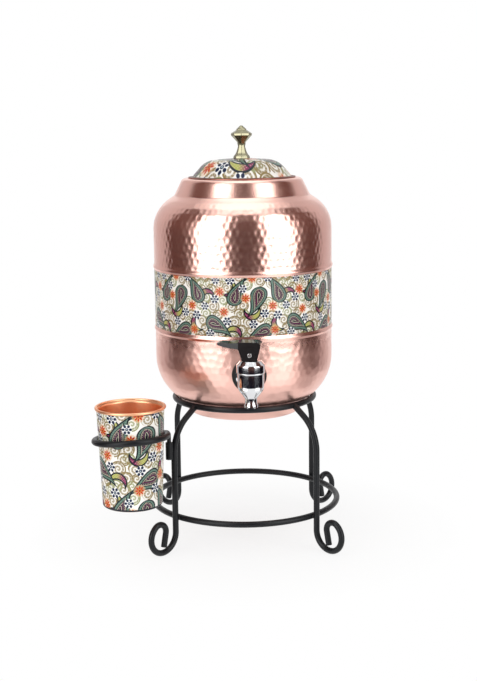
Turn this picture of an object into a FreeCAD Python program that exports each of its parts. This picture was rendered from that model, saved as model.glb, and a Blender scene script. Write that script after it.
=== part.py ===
import FreeCAD, Part
import os
from math import acos, atan2, cos, pi, radians, sin, tan

os.makedirs("parts", exist_ok=True)
V = FreeCAD.Vector

# Frame: origin on the pot's axis at floor level, +Z up, the tap towards -Y. All sizes in millimetres.

# Fits and seats
seat_gap = 0.3
weld_gap = 0.05
running_clearance = 0.06
trapped_clearance = 0.1

# Wire stand
rod_diameter = 6.0
top_ring_radius = 70.4
top_ring_height = 141.3
lower_ring_radius = 94.4
lower_ring_height = 33.5
front_leg_azimuth = 43.7
back_leg_azimuth = 46.4
shoulder_bend_radius = 41.0
shoulder_crown_drop = 1.3
foot_bend_radius = 17.5
scroll_outer_radius = 15.2
scroll_inner_radius = 8.2
scroll_change_angle = 55.0
scroll_end_turn = 137.0
scroll_tail = 14.0

# Copper pot. The foot of its straight side, where the belly's bend ends, is what its heights go by.
body_radius = 89.0
pot_wall = 1.1
base_depth = 57.37
base_radius = 55.5
base_corner_radius = 8.0
belly_bend_radius = 50.0
belly_turn_past_ring = 3.1
side_height = 128.13
pot_shoulder_radius = 35.0
pot_shoulder_turn = 57.0
neck_foot_radius = 67.4
neck_foot_bend = 4.0
neck_height = 16.87
neck_top_radius = 59.2
rim_bend_radius = 5.0
rim_width = 7.6
bead_rises = (29.43, 91.33)
bead_proud = 1.3
bead_half_width = 2.7
bead_bend_radius = 2.2

# Lid
lid_sheet = 0.8
lid_rim_overlap = 1.7
lid_flange_width = 3.6
dome_foot_bend = 1.5
dome_slope = 49.0
dome_rise = 18.8
dome_bend_radius = 22.0
crown_land_radius = 12.0
crown_bend_radius = 60.0
crown_edge_drop = 1.75
skirt_clearance = 0.5
skirt_depth = 13.0

# Brass knob
knob_sides = 8
# Height above the dome and corner radius of each level: foot, waist, crown, cap and blunt tip.
knob_levels = ((0.0, 8.6), (2.3, 7.9), (4.2, 6.2), (7.1, 4.9), (11.6, 3.6), (16.1, 4.5),
               (22.5, 10.4), (24.5, 10.4), (27.7, 5.2), (28.7, 4.9), (32.2, 1.0))
stud_diameter = 5.0
stud_length = 9.0
knob_washer_radius = 7.0
knob_washer_thickness = 1.2
knob_nut_flats = 9.0
knob_nut_thickness = 4.0

# Tap. Its shank is what its heights go by.
tap_azimuth = 2.8
shank_drop = 4.37
shank_diameter = 13.2
shank_hole_clearance = 0.3
shank_show = 7.95
inlet_bore_diameter = 8.0
barrel_above_shank = 0.4
barrel_radius = 12.5
barrel_neck_radius = 10.4
barrel_neck_end_gap = 0.8
barrel_taper_rise = 17.5
barrel_bend_radius = 9.0
chamber_radius = 8.0
nozzle_drop = 24.8
nozzle_flare_radius = 6.6
nozzle_flare_height = 2.2
nozzle_neck_radius = 5.7
nozzle_flare_slope = 2.2
nozzle_neck_length = 4.4
outlet_bore_radius = 4.3
outlet_bore_length = 12.0
bonnet_radius = 13.45
bonnet_height = 12.8
bonnet_top_thickness = 5.0
bonnet_foot_chamfer = 1.2
bonnet_shoulder_drop = 4.2
bonnet_shoulder_bend = 2.0
bonnet_face_radius = 9.8
shank_flange_radius = 13.0
shank_flange_thickness = 2.6
gasket_radius = 16.5
gasket_face_gap = 4.0
inner_gasket_radius = 12.5
inner_gasket_thickness = 3.6
lock_nut_flats = 20.0
lock_nut_thickness = 7.0
shank_tail = 2.5

# Valve and lever
stem_diameter = 5.0
stem_eye_radius = 4.0
stem_eye_width = 6.4
stem_foot_radius = 3.5
stem_foot_thickness = 1.6
plug_radius = 6.2
plug_nose_radius = 4.1
plug_height = 11.0
plug_band_height = 3.0
plug_neck_radius = 5.4
spring_wire = 1.0
spring_mean_radius = 4.6
spring_turns = 4
pin_diameter = 4.2
pivot_above_bonnet = 5.7
lever_width = 17.0
lever_blade_reach = 33.0
lever_slot_gap = 0.3
lever_heel_reach = 7.0
lever_back_reach = 10.6
lever_top = 12.2
lever_blade_thickness = 6.6
lever_nose_half_width = 6.1
lever_edge_drop = 2.2
lever_foot_bend = 0.6
lever_root_bend = 2.0
lever_back_slope = 3.0
lever_back_bend = 1.5
lever_top_bend = 2.5
lever_nose_slope = 8.0
lever_nose_bend = 30.0
lever_tip_bend = 0.7
lever_chin_slope = 9.5
lever_chin_rise = 1.4
lever_chin_bend = 14.0
lever_dish_radius = 48.0
lever_dish_depth = 1.1
lever_dish_from_tip = 13.0
lever_turn = 172.0

# Tumbler and its holder
socket_diameter = 7.0
socket_below_ring = 10.7
socket_length = 17.0
socket_floor = 1.5
prong_diameter = 4.0
arm_azimuth = 56.0
hook_reach = 7.0
holder_ring_above_post = 23.7
holder_ring_roll = 6.5
tumbler_sink = 65.0
tumbler_height = 96.5
tumbler_foot_radius = 28.6
tumbler_lip_radius = 32.2
tumbler_wall = 0.9
tumbler_corner_radius = 2.5
tumbler_curl_radius = 1.3
tumbler_base_recess = 1.4
tumbler_base_rim = 4.0

# Sizes that follow from the ones above
rod_radius = rod_diameter / 2
leg_radius = lower_ring_radius + rod_diameter + weld_gap
foot_radius = leg_radius + foot_bend_radius
shoulder_height = top_ring_height - shoulder_bend_radius - shoulder_crown_drop
socket_radius = leg_radius + rod_radius + socket_diameter / 2 + weld_gap
holder_ring_height = shoulder_height + holder_ring_above_post
socket_top = holder_ring_height - socket_below_ring

# The pot rests on the top ring: its belly's bend is tangent to the ring's wire, one seat gap away,
# and runs a little past it.
belly_centre_radius = body_radius - belly_bend_radius
belly_to_ring = belly_bend_radius + rod_radius + seat_gap
ring_angle = acos((top_ring_radius - belly_centre_radius) / belly_to_ring)
belly_turn = ring_angle + radians(belly_turn_past_ring)
side_foot = top_ring_height + belly_to_ring * sin(ring_angle)
base_height = side_foot - base_depth
shoulder_corner = side_foot + side_height + pot_shoulder_radius * tan(radians(pot_shoulder_turn) / 2)
neck_foot_height = shoulder_corner + (body_radius - neck_foot_radius) / tan(radians(pot_shoulder_turn))
rim_height = neck_foot_height + neck_height
mouth_radius = neck_top_radius - rim_width

# The lid lies on the rim and its skirt hangs inside the mouth.
lid_height = rim_height + seat_gap + lid_sheet
lid_flange_radius = mouth_radius + lid_rim_overlap
dome_foot_radius = lid_flange_radius - lid_flange_width
dome_crown_height = rim_height + dome_rise

# The tap's shank goes through the pot's side, and its flange stands clear of the bonnet.
shank_height = side_foot - shank_drop
wall_reach = bonnet_radius + shank_show + shank_flange_thickness + gasket_face_gap
tap_axis_radius = body_radius + wall_reach
body_top_height = shank_height + shank_diameter / 2 + barrel_above_shank
nozzle_tip_height = shank_height - nozzle_drop
barrel_neck_height = bonnet_height - bonnet_top_thickness - barrel_neck_end_gap
bonnet_top = body_top_height + bonnet_height
pivot_height = bonnet_top + pivot_above_bonnet

# The tumbler sinks into its ring, which is just wide enough to stop it there: the upper edge of the
# rolled ring is one seat gap from the cup.
tumbler_top = tumbler_height - tumbler_curl_radius
tumbler_taper = (tumbler_lip_radius - tumbler_foot_radius) / tumbler_top
tumbler_foot_height = holder_ring_height - tumbler_sink
ring_roll = radians(holder_ring_roll)
ring_reach = tumbler_foot_radius + tumbler_taper * tumbler_sink + seat_gap
ring_hole_radius = ring_reach / (cos(ring_roll) - tumbler_taper * sin(ring_roll))
holder_ring_radius = ring_hole_radius + rod_radius

# The plug's cone stays parallel to the valve seat, one seat gap off it.
valve_seat_height = nozzle_tip_height + outlet_bore_length
valve_seat_rise = chamber_radius - outlet_bore_radius
plug_foot = valve_seat_height - (outlet_bore_radius - plug_nose_radius) + seat_gap * 2 ** 0.5
plug_top = plug_foot + plug_height
plug_cone_rise = plug_radius - plug_nose_radius
spring_foot = plug_top + seat_gap
spring_top = bonnet_top - bonnet_top_thickness - seat_gap


def export(shape, name):
    """Write one solid to its own file."""
    shape.exportStep("parts/" + name + ".step")


def polar(radius, azimuth, height=0.0):
    """Point at a distance from the pot's axis; azimuth 0 is the front, positive to the right."""
    turn = radians(azimuth)
    return V(radius * sin(turn), -radius * cos(turn), height)


def rounded_wire(corners):
    """Straight runs in the XZ plane joined by tangent arcs; each corner is (x, z, bend radius)."""
    points = [V(x, 0, z) for x, z, _ in corners]
    edges = []
    last = points[0]

    def straight_to(there):
        if last.distanceToPoint(there) > 1e-6:
            edges.append(Part.makeLine(last, there))

    for i in range(1, len(points) - 1):
        before = (points[i - 1] - points[i]).normalize()
        after = (points[i + 1] - points[i]).normalize()
        bend = corners[i][2]
        if bend > 0:
            half_angle = acos(max(-1.0, min(1.0, before.dot(after)))) / 2
            reach = bend / tan(half_angle)
            start = points[i] + before * reach
            end = points[i] + after * reach
            middle = (before + after).normalize()
            centre = points[i] + middle * (bend / sin(half_angle))
            straight_to(start)
            edges.append(Part.Arc(start, centre - middle * bend, end).toShape())
            last = end
        else:
            straight_to(points[i])
            last = points[i]
    straight_to(points[-1])
    return Part.Wire(edges)


def spun(face):
    """Full turn of a flat outline about Z."""
    return face.revolve(V(0, 0, 0), V(0, 0, 1), 360)


def turned(corners):
    """Solid of revolution about Z from a closed outline whose corners may be rounded."""
    # The outline starts halfway along its first side, so that every real corner can be rounded.
    first, second = corners[0], corners[1]
    middle = ((first[0] + second[0]) / 2, (first[1] + second[1]) / 2, 0)
    loop = [middle] + list(corners[1:]) + [first, middle]
    return spun(Part.Face(rounded_wire(loop)))


def spun_sheet(corners, thickness):
    """Sheet metal spun about Z: the outer outline, with its thickness on the inner side."""
    wall = rounded_wire(corners).makeOffset2D(thickness, join=2, fill=True, openResult=True)
    return spun(wall)


def tube(outer, inner, bottom, top):
    """Plain round tube standing on Z."""
    shell = Part.makeCylinder(outer, top - bottom, V(0, 0, bottom))
    return shell.cut(Part.makeCylinder(inner, top - bottom, V(0, 0, bottom)))


def hexagon_nut(flats, bore, bottom, thickness):
    """Hexagon nut with its corners chamfered on both faces."""
    corner = flats / 2 / cos(pi / 6)
    points = [V(corner * cos(k * pi / 3), corner * sin(k * pi / 3), bottom) for k in range(7)]
    blank = Part.Face(Part.makePolygon(points)).extrude(V(0, 0, thickness))
    chamfer = corner - flats / 2
    trim = turned([(0, bottom, 0), (flats / 2, bottom, 0), (corner, bottom + chamfer, 0),
                   (corner, bottom + thickness - chamfer, 0), (flats / 2, bottom + thickness, 0),
                   (0, bottom + thickness, 0)])
    return blank.common(trim).cut(Part.makeCylinder(bore, thickness, V(0, 0, bottom)))


def rod_path(start, heading, steps):
    """Edges of a bent rod in the XZ plane, as straight steps and (bend radius, turn) steps."""
    edges = []
    here = V(start[0], 0, start[1])
    angle = radians(heading)
    for step in steps:
        if isinstance(step, tuple):
            bend, turn = step[0], radians(step[1])
            side = 1 if turn > 0 else -1
            centre = here + V(-sin(angle), 0, cos(angle)) * (bend * side)
            spoke = here - centre

            def swung(part):
                return centre + V(spoke.x * cos(part) - spoke.z * sin(part), 0,
                                  spoke.x * sin(part) + spoke.z * cos(part))
            there = swung(turn)
            edges.append(Part.Arc(here, swung(turn / 2), there).toShape())
            angle += turn
        else:
            there = here + V(cos(angle), 0, sin(angle)) * step
            edges.append(Part.makeLine(here, there))
        here = there
    return edges


def rod_along(edges, start, direction, diameter):
    """Round rod swept along a path that begins at start."""
    section = Part.Wire(Part.makeCircle(diameter / 2, start, direction))
    return Part.Wire(Part.__sortEdges__(edges)).makePipeShell([section], True, False)


def wire_ring(radius, height, diameter=rod_diameter):
    """Closed ring of round wire."""
    return Part.makeTorus(radius, diameter / 2, V(0, 0, height))


# Stand: two rings and four scroll-footed legs, bent from one size of rod and welded

def leg(azimuth):
    """Leg in its radial plane: scroll, foot bend, post and a shoulder that leans in to the ring."""
    floor_point = (foot_radius, rod_radius)
    post = shoulder_height - rod_radius - foot_bend_radius

    # The straight end above the shoulder bend is the bend's tangent through the ring's wire.
    bend_centre = V(leg_radius - shoulder_bend_radius, 0, shoulder_height)
    to_ring = V(top_ring_radius, 0, top_ring_height) - bend_centre
    shoulder_turn = atan2(to_ring.z, to_ring.x) - acos(shoulder_bend_radius / to_ring.Length)
    end_length = (to_ring.Length ** 2 - shoulder_bend_radius ** 2) ** 0.5
    shoulder = (shoulder_bend_radius, shoulder_turn * 180 / pi)

    upward = rod_path(floor_point, 180, [(foot_bend_radius, -90), post, shoulder, end_length])
    scroll = rod_path(floor_point, 0, [(scroll_outer_radius, 90 + scroll_change_angle),
                                       (scroll_inner_radius, scroll_end_turn), scroll_tail])
    lean = V(-sin(shoulder_turn), 0, cos(shoulder_turn))
    top_end = V(top_ring_radius, 0, top_ring_height)
    rod = rod_along(upward + scroll, top_end, lean, rod_diameter)
    rod = rod.cut(wire_ring(top_ring_radius, top_ring_height, rod_diameter + 2 * weld_gap))
    rod.rotate(V(0, 0, 0), V(0, 0, 1), azimuth - 90)
    return rod


def build_stand():
    export(wire_ring(top_ring_radius, top_ring_height), "top_ring")
    export(wire_ring(lower_ring_radius, lower_ring_height), "lower_ring")
    export(leg(-front_leg_azimuth), "leg_front_left")
    export(leg(front_leg_azimuth), "leg_front_right")
    export(leg(180 + back_leg_azimuth), "leg_back_left")
    export(leg(180 - back_leg_azimuth), "leg_back_right")


# Holder: a blind socket welded on the front left leg, a ring, and the bent prong that hangs it there

def socket_place():
    return polar(socket_radius, -front_leg_azimuth)


def ring_place():
    return socket_place() + polar(holder_ring_radius + hook_reach, -arm_azimuth)


def build_holder():
    floor = socket_top - socket_length
    bore = prong_diameter / 2 + running_clearance
    socket = Part.makeCylinder(socket_diameter / 2, socket_length, V(0, 0, floor))
    socket = socket.cut(Part.makeCylinder(bore, socket_length, V(0, 0, floor + socket_floor)))
    socket.translate(socket_place())
    export(socket, "holder_socket")

    # The ring and the prong are made with the arm along +X from the socket, then turned together.
    ring = wire_ring(holder_ring_radius, 0)
    cope = wire_ring(holder_ring_radius, 0, rod_diameter + 2 * weld_gap)
    for piece in (ring, cope):
        piece.rotate(V(0, 0, 0), V(1, 0, 0), holder_ring_roll)
        piece.translate(V(holder_ring_radius + hook_reach, 0, holder_ring_height))
    prong_foot = floor + socket_floor + seat_gap
    bend = hook_reach / 2
    drop = holder_ring_height - bend - prong_foot
    prong_path = rod_path((0, prong_foot), 90, [drop, (bend, -90), hook_reach - bend])
    prong = rod_along(prong_path, V(0, 0, prong_foot), V(0, 0, 1), prong_diameter).cut(cope)
    for piece, name in ((ring, "holder_ring"), (prong, "holder_prong")):
        piece.rotate(V(0, 0, 0), V(0, 0, 1), -90 - arm_azimuth)
        piece.translate(socket_place())
        export(piece, name)


def build_tumbler():
    """Tapered cup with a recessed base and a rolled lip, standing in the holder's ring."""
    standing_radius = tumbler_foot_radius - tumbler_base_rim
    cup = spun_sheet([(0, tumbler_base_recess, 0),
                      (standing_radius - tumbler_base_recess, tumbler_base_recess, 0),
                      (standing_radius, 0, 0), (tumbler_foot_radius, 0, tumbler_corner_radius),
                      (tumbler_lip_radius, tumbler_top, 0)], tumbler_wall)
    curl_radius = tumbler_lip_radius + tumbler_curl_radius - tumbler_wall
    cup = cup.fuse(Part.makeTorus(curl_radius, tumbler_curl_radius, V(0, 0, tumbler_top)))
    cup.translate(ring_place() + V(0, 0, tumbler_foot_height))
    export(cup.removeSplitter(), "tumbler")


# Pot: one spun copper shell, flat base, full belly, rolled beads, shoulder and drawn-in mouth

def pot_outline():
    """Outer outline of the pot from the centre of the base to the edge of the mouth."""
    belly_corner = side_foot - belly_bend_radius * tan(belly_turn / 2)
    belly_foot_radius = belly_centre_radius + belly_bend_radius * cos(belly_turn)
    belly_foot_height = side_foot - belly_bend_radius * sin(belly_turn)
    outline = [(0, base_height, 0), (base_radius, base_height, base_corner_radius),
               (belly_foot_radius, belly_foot_height, 0), (body_radius, belly_corner, belly_bend_radius)]
    for rise in bead_rises:
        height = side_foot + rise
        outline += [(body_radius, height - bead_half_width, 0),
                    (body_radius + bead_proud, height, bead_bend_radius),
                    (body_radius, height + bead_half_width, 0)]
    outline += [(body_radius, shoulder_corner, pot_shoulder_radius),
                (neck_foot_radius, neck_foot_height, neck_foot_bend),
                (neck_top_radius, rim_height, rim_bend_radius), (mouth_radius, rim_height, 0)]
    return outline


def place_tap(shape):
    """Turn and move a piece from the tap's own axis to the tap's place on the pot."""
    shape.translate(V(0, -tap_axis_radius, 0))
    shape.rotate(V(0, 0, 0), V(0, 0, 1), tap_azimuth)
    return shape


def build_pot():
    pot = spun_sheet(pot_outline(), pot_wall)
    hole_radius = shank_diameter / 2 + shank_hole_clearance
    hole = Part.makeCylinder(hole_radius, tap_axis_radius, V(0, 0, shank_height), V(0, 1, 0))
    export(pot.cut(place_tap(hole)), "pot_shell")


# Lid: a domed sheet with a flat flange, a soldered skirt that centres it, and a brass knob

def build_lid():
    crown_edge = dome_crown_height - crown_edge_drop
    crown_edge_radius = dome_foot_radius - (crown_edge - lid_height) / tan(radians(dome_slope))
    dome = spun_sheet([(0, dome_crown_height, 0),
                       (crown_land_radius, dome_crown_height, crown_bend_radius),
                       (crown_edge_radius, crown_edge, dome_bend_radius),
                       (dome_foot_radius, lid_height, dome_foot_bend),
                       (lid_flange_radius, lid_height, 0)], -lid_sheet)
    hole_radius = stud_diameter / 2 + seat_gap
    hole = Part.makeCylinder(hole_radius, stud_length, V(0, 0, dome_crown_height - stud_length / 2))
    export(dome.cut(hole), "lid_dome")

    skirt_outer = mouth_radius - skirt_clearance
    skirt_top = rim_height + seat_gap - weld_gap
    skirt = tube(skirt_outer, skirt_outer - lid_sheet, skirt_top - skirt_depth, skirt_top)
    export(skirt, "lid_skirt")


def faceted_column(levels, sides, foot):
    """Solid with flat facets between regular polygons; each level is (height, corner radius)."""
    def corner(level, k):
        height, radius = levels[level]
        turn = 2 * pi * k / sides
        return V(radius * sin(turn), -radius * cos(turn), foot + height)

    faces = []
    for level in range(len(levels) - 1):
        for k in range(sides):
            outline = [corner(level, k), corner(level, k + 1), corner(level + 1, k + 1),
                       corner(level + 1, k), corner(level, k)]
            faces.append(Part.Face(Part.makePolygon(outline)))
    for level in (0, len(levels) - 1):
        faces.append(Part.Face(Part.makePolygon([corner(level, k) for k in range(sides + 1)])))
    return Part.Solid(Part.Shell(faces))


def build_knob():
    foot = dome_crown_height + weld_gap
    knob = faceted_column(knob_levels, knob_sides, foot)
    stud = Part.makeCylinder(stud_diameter / 2, stud_length + weld_gap, V(0, 0, foot - stud_length))
    export(knob.fuse(stud), "lid_knob")

    under = dome_crown_height - lid_sheet - weld_gap
    bore = stud_diameter / 2 + weld_gap
    washer_bottom = under - knob_washer_thickness
    export(tube(knob_washer_radius, bore, washer_bottom, under), "knob_washer")
    nut_bottom = washer_bottom - weld_gap - knob_nut_thickness
    export(hexagon_nut(knob_nut_flats, bore, nut_bottom, knob_nut_thickness), "knob_nut")


# Tap, made about its own vertical axis with the pot towards +Y

def along_shank(radius, near, far):
    """Round length on the shank's axis, measured from the tap's axis towards the pot."""
    return Part.makeCylinder(radius, far - near, V(0, near, shank_height), V(0, 1, 0))


def pot_at_tap(gap):
    """The pot's outer shape, filled, in the tap's own frame and moved towards the tap by a gap."""
    closed = pot_outline() + [(0, rim_height, 0), (0, base_height, 0)]
    pot = spun(Part.Face(rounded_wire(closed)))
    pot.rotate(V(0, 0, 0), V(0, 0, 1), -tap_azimuth)
    pot.translate(V(0, tap_axis_radius - gap, 0))
    return pot


def build_tap_body():
    """Cast body: flared nozzle, barrel and threaded shank, bored through with a conical seat."""
    tip = nozzle_tip_height
    flare_top = tip + nozzle_flare_height
    neck_foot = flare_top + nozzle_flare_slope
    barrel_top = body_top_height + barrel_neck_height
    outer = turned([(0, tip, 0), (nozzle_flare_radius, tip, 0), (nozzle_flare_radius, flare_top, 0),
                    (nozzle_neck_radius, neck_foot, 0),
                    (nozzle_neck_radius, neck_foot + nozzle_neck_length, 0),
                    (barrel_radius, tip + barrel_taper_rise, barrel_bend_radius),
                    (barrel_radius, body_top_height, 0), (barrel_neck_radius, body_top_height, 0),
                    (barrel_neck_radius, barrel_top, 0), (0, barrel_top, 0)])
    flange_near = wall_reach - gasket_face_gap - shank_flange_thickness
    shank_far = wall_reach + pot_wall + inner_gasket_thickness + lock_nut_thickness + shank_tail
    outer = outer.fuse(along_shank(shank_diameter / 2, 0, shank_far))
    outer = outer.fuse(along_shank(shank_flange_radius, flange_near, flange_near + shank_flange_thickness))
    bored = turned([(0, tip - 1, 0), (outlet_bore_radius, tip - 1, 0),
                    (outlet_bore_radius, valve_seat_height, 0),
                    (chamber_radius, valve_seat_height + valve_seat_rise, 0),
                    (chamber_radius, barrel_top + 1, 0), (0, barrel_top + 1, 0)])
    inlet = along_shank(inlet_bore_diameter / 2, 0, shank_far + 1)
    export(place_tap(outer.cut(bored).cut(inlet)), "tap_body")


def build_bonnet():
    foot = body_top_height + weld_gap
    top = bonnet_top
    under = top - bonnet_top_thickness
    cap = turned([(0, foot, 0), (barrel_radius, foot, 0), (bonnet_radius, foot + bonnet_foot_chamfer, 0),
                  (bonnet_radius, top - bonnet_shoulder_drop, bonnet_shoulder_bend),
                  (bonnet_face_radius, top, 0), (0, top, 0)])
    cap = cap.cut(Part.makeCylinder(barrel_neck_radius + weld_gap, under - foot, V(0, 0, foot)))
    stem_bore = stem_diameter / 2 + running_clearance
    cap = cap.cut(Part.makeCylinder(stem_bore, bonnet_height, V(0, 0, foot)))
    export(place_tap(cap), "tap_bonnet")


def build_gaskets_and_nut():
    hole = shank_diameter / 2 + weld_gap
    front = wall_reach - gasket_face_gap + weld_gap
    blank = along_shank(gasket_radius, front, wall_reach + gasket_radius / 2)
    blank = blank.cut(along_shank(hole, front, wall_reach + gasket_radius))
    export(place_tap(blank.cut(pot_at_tap(weld_gap))), "tap_outer_gasket")

    inner_face = wall_reach + pot_wall + inner_gasket_thickness
    washer = along_shank(inner_gasket_radius, wall_reach, inner_face)
    washer = washer.cut(along_shank(hole, wall_reach, inner_face))
    export(place_tap(washer.common(pot_at_tap(-pot_wall - seat_gap))), "tap_inner_gasket")

    nut = hexagon_nut(lock_nut_flats, hole, 0, lock_nut_thickness)
    nut.rotate(V(0, 0, 0), V(1, 0, 0), -90)
    nut.translate(V(0, inner_face + weld_gap, shank_height))
    export(place_tap(nut), "tap_lock_nut")


def build_plug():
    """Rubber plug with a conical nose; the stem's foot turns in the pocket moulded inside it."""
    cone_top = plug_foot + plug_cone_rise
    band_top = cone_top + plug_band_height
    neck_foot = band_top + plug_radius - plug_neck_radius
    plug = turned([(0, plug_foot, 0), (plug_nose_radius, plug_foot, 0), (plug_radius, cone_top, 0),
                   (plug_radius, band_top, 0), (plug_neck_radius, neck_foot, 0),
                   (plug_neck_radius, plug_top, 0), (0, plug_top, 0)])
    pocket_bottom = cone_top - trapped_clearance
    pocket_height = stem_foot_thickness + 2 * trapped_clearance
    pocket = Part.makeCylinder(stem_foot_radius + trapped_clearance, pocket_height, V(0, 0, pocket_bottom))
    throat = Part.makeCylinder(stem_diameter / 2 + trapped_clearance, plug_height, V(0, 0, pocket_bottom))
    export(place_tap(plug.cut(pocket).cut(throat)), "tap_plug_seal")


def across_pivot(radius, width):
    """Round length across the lever's pivot, centred on the tap's axis."""
    return Part.makeCylinder(radius, width, V(0, -width / 2, pivot_height), V(0, 1, 0))


def build_stem():
    foot = plug_foot + plug_cone_rise
    stem = Part.makeCylinder(stem_diameter / 2, pivot_height - foot, V(0, 0, foot))
    stem = stem.fuse(Part.makeCylinder(stem_foot_radius, stem_foot_thickness, V(0, 0, foot)))
    stem = stem.fuse(across_pivot(stem_eye_radius, stem_eye_width))
    stem = stem.cut(across_pivot(pin_diameter / 2 + weld_gap, stem_eye_width))
    export(place_lever(stem), "tap_stem")


def build_spring():
    """Spring between the plug and the bonnet, of wire with six flats."""
    coil_height = spring_top - spring_foot - spring_wire
    helix = Part.makeHelix(coil_height / spring_turns, coil_height, spring_mean_radius)
    reach = spring_wire / 2
    corners = [V(spring_mean_radius + reach * sin(k * pi / 3), 0, reach * cos(k * pi / 3))
               for k in range(7)]
    spring = Part.Wire(helix).makePipeShell([Part.makePolygon(corners)], True, True)
    spring.translate(V(0, 0, spring_foot + spring_wire / 2))
    export(place_tap(spring), "tap_spring")


def place_lever(shape):
    """Turn a piece made with the lever's blade along +X, and place it with the tap."""
    shape.rotate(V(0, 0, 0), V(0, 0, 1), lever_turn - tap_azimuth)
    return place_tap(shape)


def build_lever():
    """Lever: a side outline cut to its plan, slotted for the stem's eye and dished for the finger."""
    foot = seat_gap - pivot_above_bonnet
    top = lever_top
    tip = lever_blade_reach
    under = top - lever_blade_thickness
    edge = top - lever_edge_drop
    side = [(-lever_heel_reach, foot, lever_foot_bend), (-lever_back_reach, edge, lever_back_bend),
            (lever_back_slope - lever_back_reach, top, lever_top_bend),
            (tip - lever_nose_slope, top, lever_nose_bend), (tip, edge, lever_tip_bend),
            (tip - lever_chin_slope, under + lever_chin_rise, lever_chin_bend),
            (lever_back_reach, under, lever_root_bend), (lever_heel_reach, foot, lever_foot_bend)]
    start = (0, foot, 0)
    lever = Part.Face(rounded_wire([start] + side + [start])).extrude(V(0, lever_width, 0))
    lever.translate(V(0, -lever_width / 2, 0))

    # Seen from above the blade narrows and ends in a full round.
    root = lever_width / 2
    nose = lever_nose_half_width
    corners = [V(-lever_back_reach, 0, foot), V(-lever_back_reach, root, foot),
               V(lever_back_reach, root, foot), V(tip - nose, nose, foot)]
    mirrored = [V(p.x, -p.y, p.z) for p in corners]
    edges = [Part.makeLine(a, b) for a, b in zip(corners, corners[1:])]
    edges += [Part.makeLine(a, b) for a, b in zip(mirrored, mirrored[1:])]
    edges.append(Part.Arc(corners[-1], V(tip, 0, foot), mirrored[-1]).toShape())
    plan = Part.Face(Part.Wire(Part.__sortEdges__(edges))).extrude(V(0, 0, top - foot))
    lever = lever.common(plan)

    slot_width = stem_eye_width + 2 * lever_slot_gap
    slot_top = stem_eye_radius + lever_slot_gap
    slot_back = stem_eye_radius + 2 * lever_slot_gap
    slot = Part.makeBox(slot_back + tip, slot_width, slot_top - foot, V(-slot_back, -slot_width / 2, foot))
    dish = Part.makeCylinder(lever_dish_radius, lever_width,
                             V(tip - lever_dish_from_tip, -lever_width / 2,
                               top + lever_dish_radius - lever_dish_depth), V(0, 1, 0))
    lever = lever.cut(slot).cut(dish)
    lever.translate(V(0, 0, pivot_height))
    lever = lever.cut(across_pivot(pin_diameter / 2 + running_clearance, lever_width))
    export(place_lever(lever), "tap_lever")
    export(place_lever(across_pivot(pin_diameter / 2, lever_width)), "tap_pivot_pin")


build_stand()
build_holder()
build_tumbler()
build_pot()
build_lid()
build_knob()
build_tap_body()
build_bonnet()
build_gaskets_and_nut()
build_plug()
build_stem()
build_spring()
build_lever()
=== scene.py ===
from math import acos, atan2, cos, pi, radians, sin, sqrt, tan

import bmesh
import bpy
import numpy as np
from mathutils import Matrix, Vector, noise
from mathutils.kdtree import KDTree


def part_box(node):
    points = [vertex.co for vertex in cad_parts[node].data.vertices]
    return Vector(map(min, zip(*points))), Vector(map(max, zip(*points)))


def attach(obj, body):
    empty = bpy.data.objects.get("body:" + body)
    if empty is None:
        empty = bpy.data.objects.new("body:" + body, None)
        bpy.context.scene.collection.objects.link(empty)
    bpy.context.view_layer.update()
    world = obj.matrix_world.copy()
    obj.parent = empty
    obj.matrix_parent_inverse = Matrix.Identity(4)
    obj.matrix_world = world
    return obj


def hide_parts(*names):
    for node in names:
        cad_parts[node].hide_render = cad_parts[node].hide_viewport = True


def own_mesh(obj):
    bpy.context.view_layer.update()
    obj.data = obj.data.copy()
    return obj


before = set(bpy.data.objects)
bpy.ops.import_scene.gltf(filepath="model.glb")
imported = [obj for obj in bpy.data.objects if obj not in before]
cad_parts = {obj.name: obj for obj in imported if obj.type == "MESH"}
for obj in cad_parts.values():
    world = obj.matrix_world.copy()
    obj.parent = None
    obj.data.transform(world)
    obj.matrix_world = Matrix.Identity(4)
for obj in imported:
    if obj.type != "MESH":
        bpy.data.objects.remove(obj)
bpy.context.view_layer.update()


# Wire stand. Two rings and four legs with scroll feet are bent from 6 mm round steel rod, welded
# where they touch and powder-coated in satin black. Each rod is one round section run along the
# centre line of its bends.

class Value:
    """One output of a node. Maths written with it adds the nodes that work it out."""

    def __init__(self, work, socket):
        self.work = work
        self.socket = socket

    def other(self, name):
        """Another output of the same node."""
        return Value(self.work, self.socket.node.outputs[name])

    def maths(self, operation, *others):
        sockets = dict(enumerate((self, *others)))
        return self.work.node("Math", {"operation": operation}, sockets)

    def __add__(self, number):
        return self.maths("ADD", number)

    def __sub__(self, number):
        return self.maths("SUBTRACT", number)

    def __mul__(self, number):
        return self.maths("MULTIPLY", number)

    def __truediv__(self, number):
        return self.maths("DIVIDE", number)

    def __rsub__(self, number):
        return self.work.node("Math", {"operation": "SUBTRACT"}, {0: number, 1: self})

    __radd__ = __add__
    __rmul__ = __mul__

    def __gt__(self, number):
        return self.maths("GREATER_THAN", number)

    def __lt__(self, number):
        return self.maths("LESS_THAN", number)

    def within(self, low, high):
        """This value, held between two others."""
        return self.maths("MAXIMUM", low).maths("MINIMUM", high)


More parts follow.
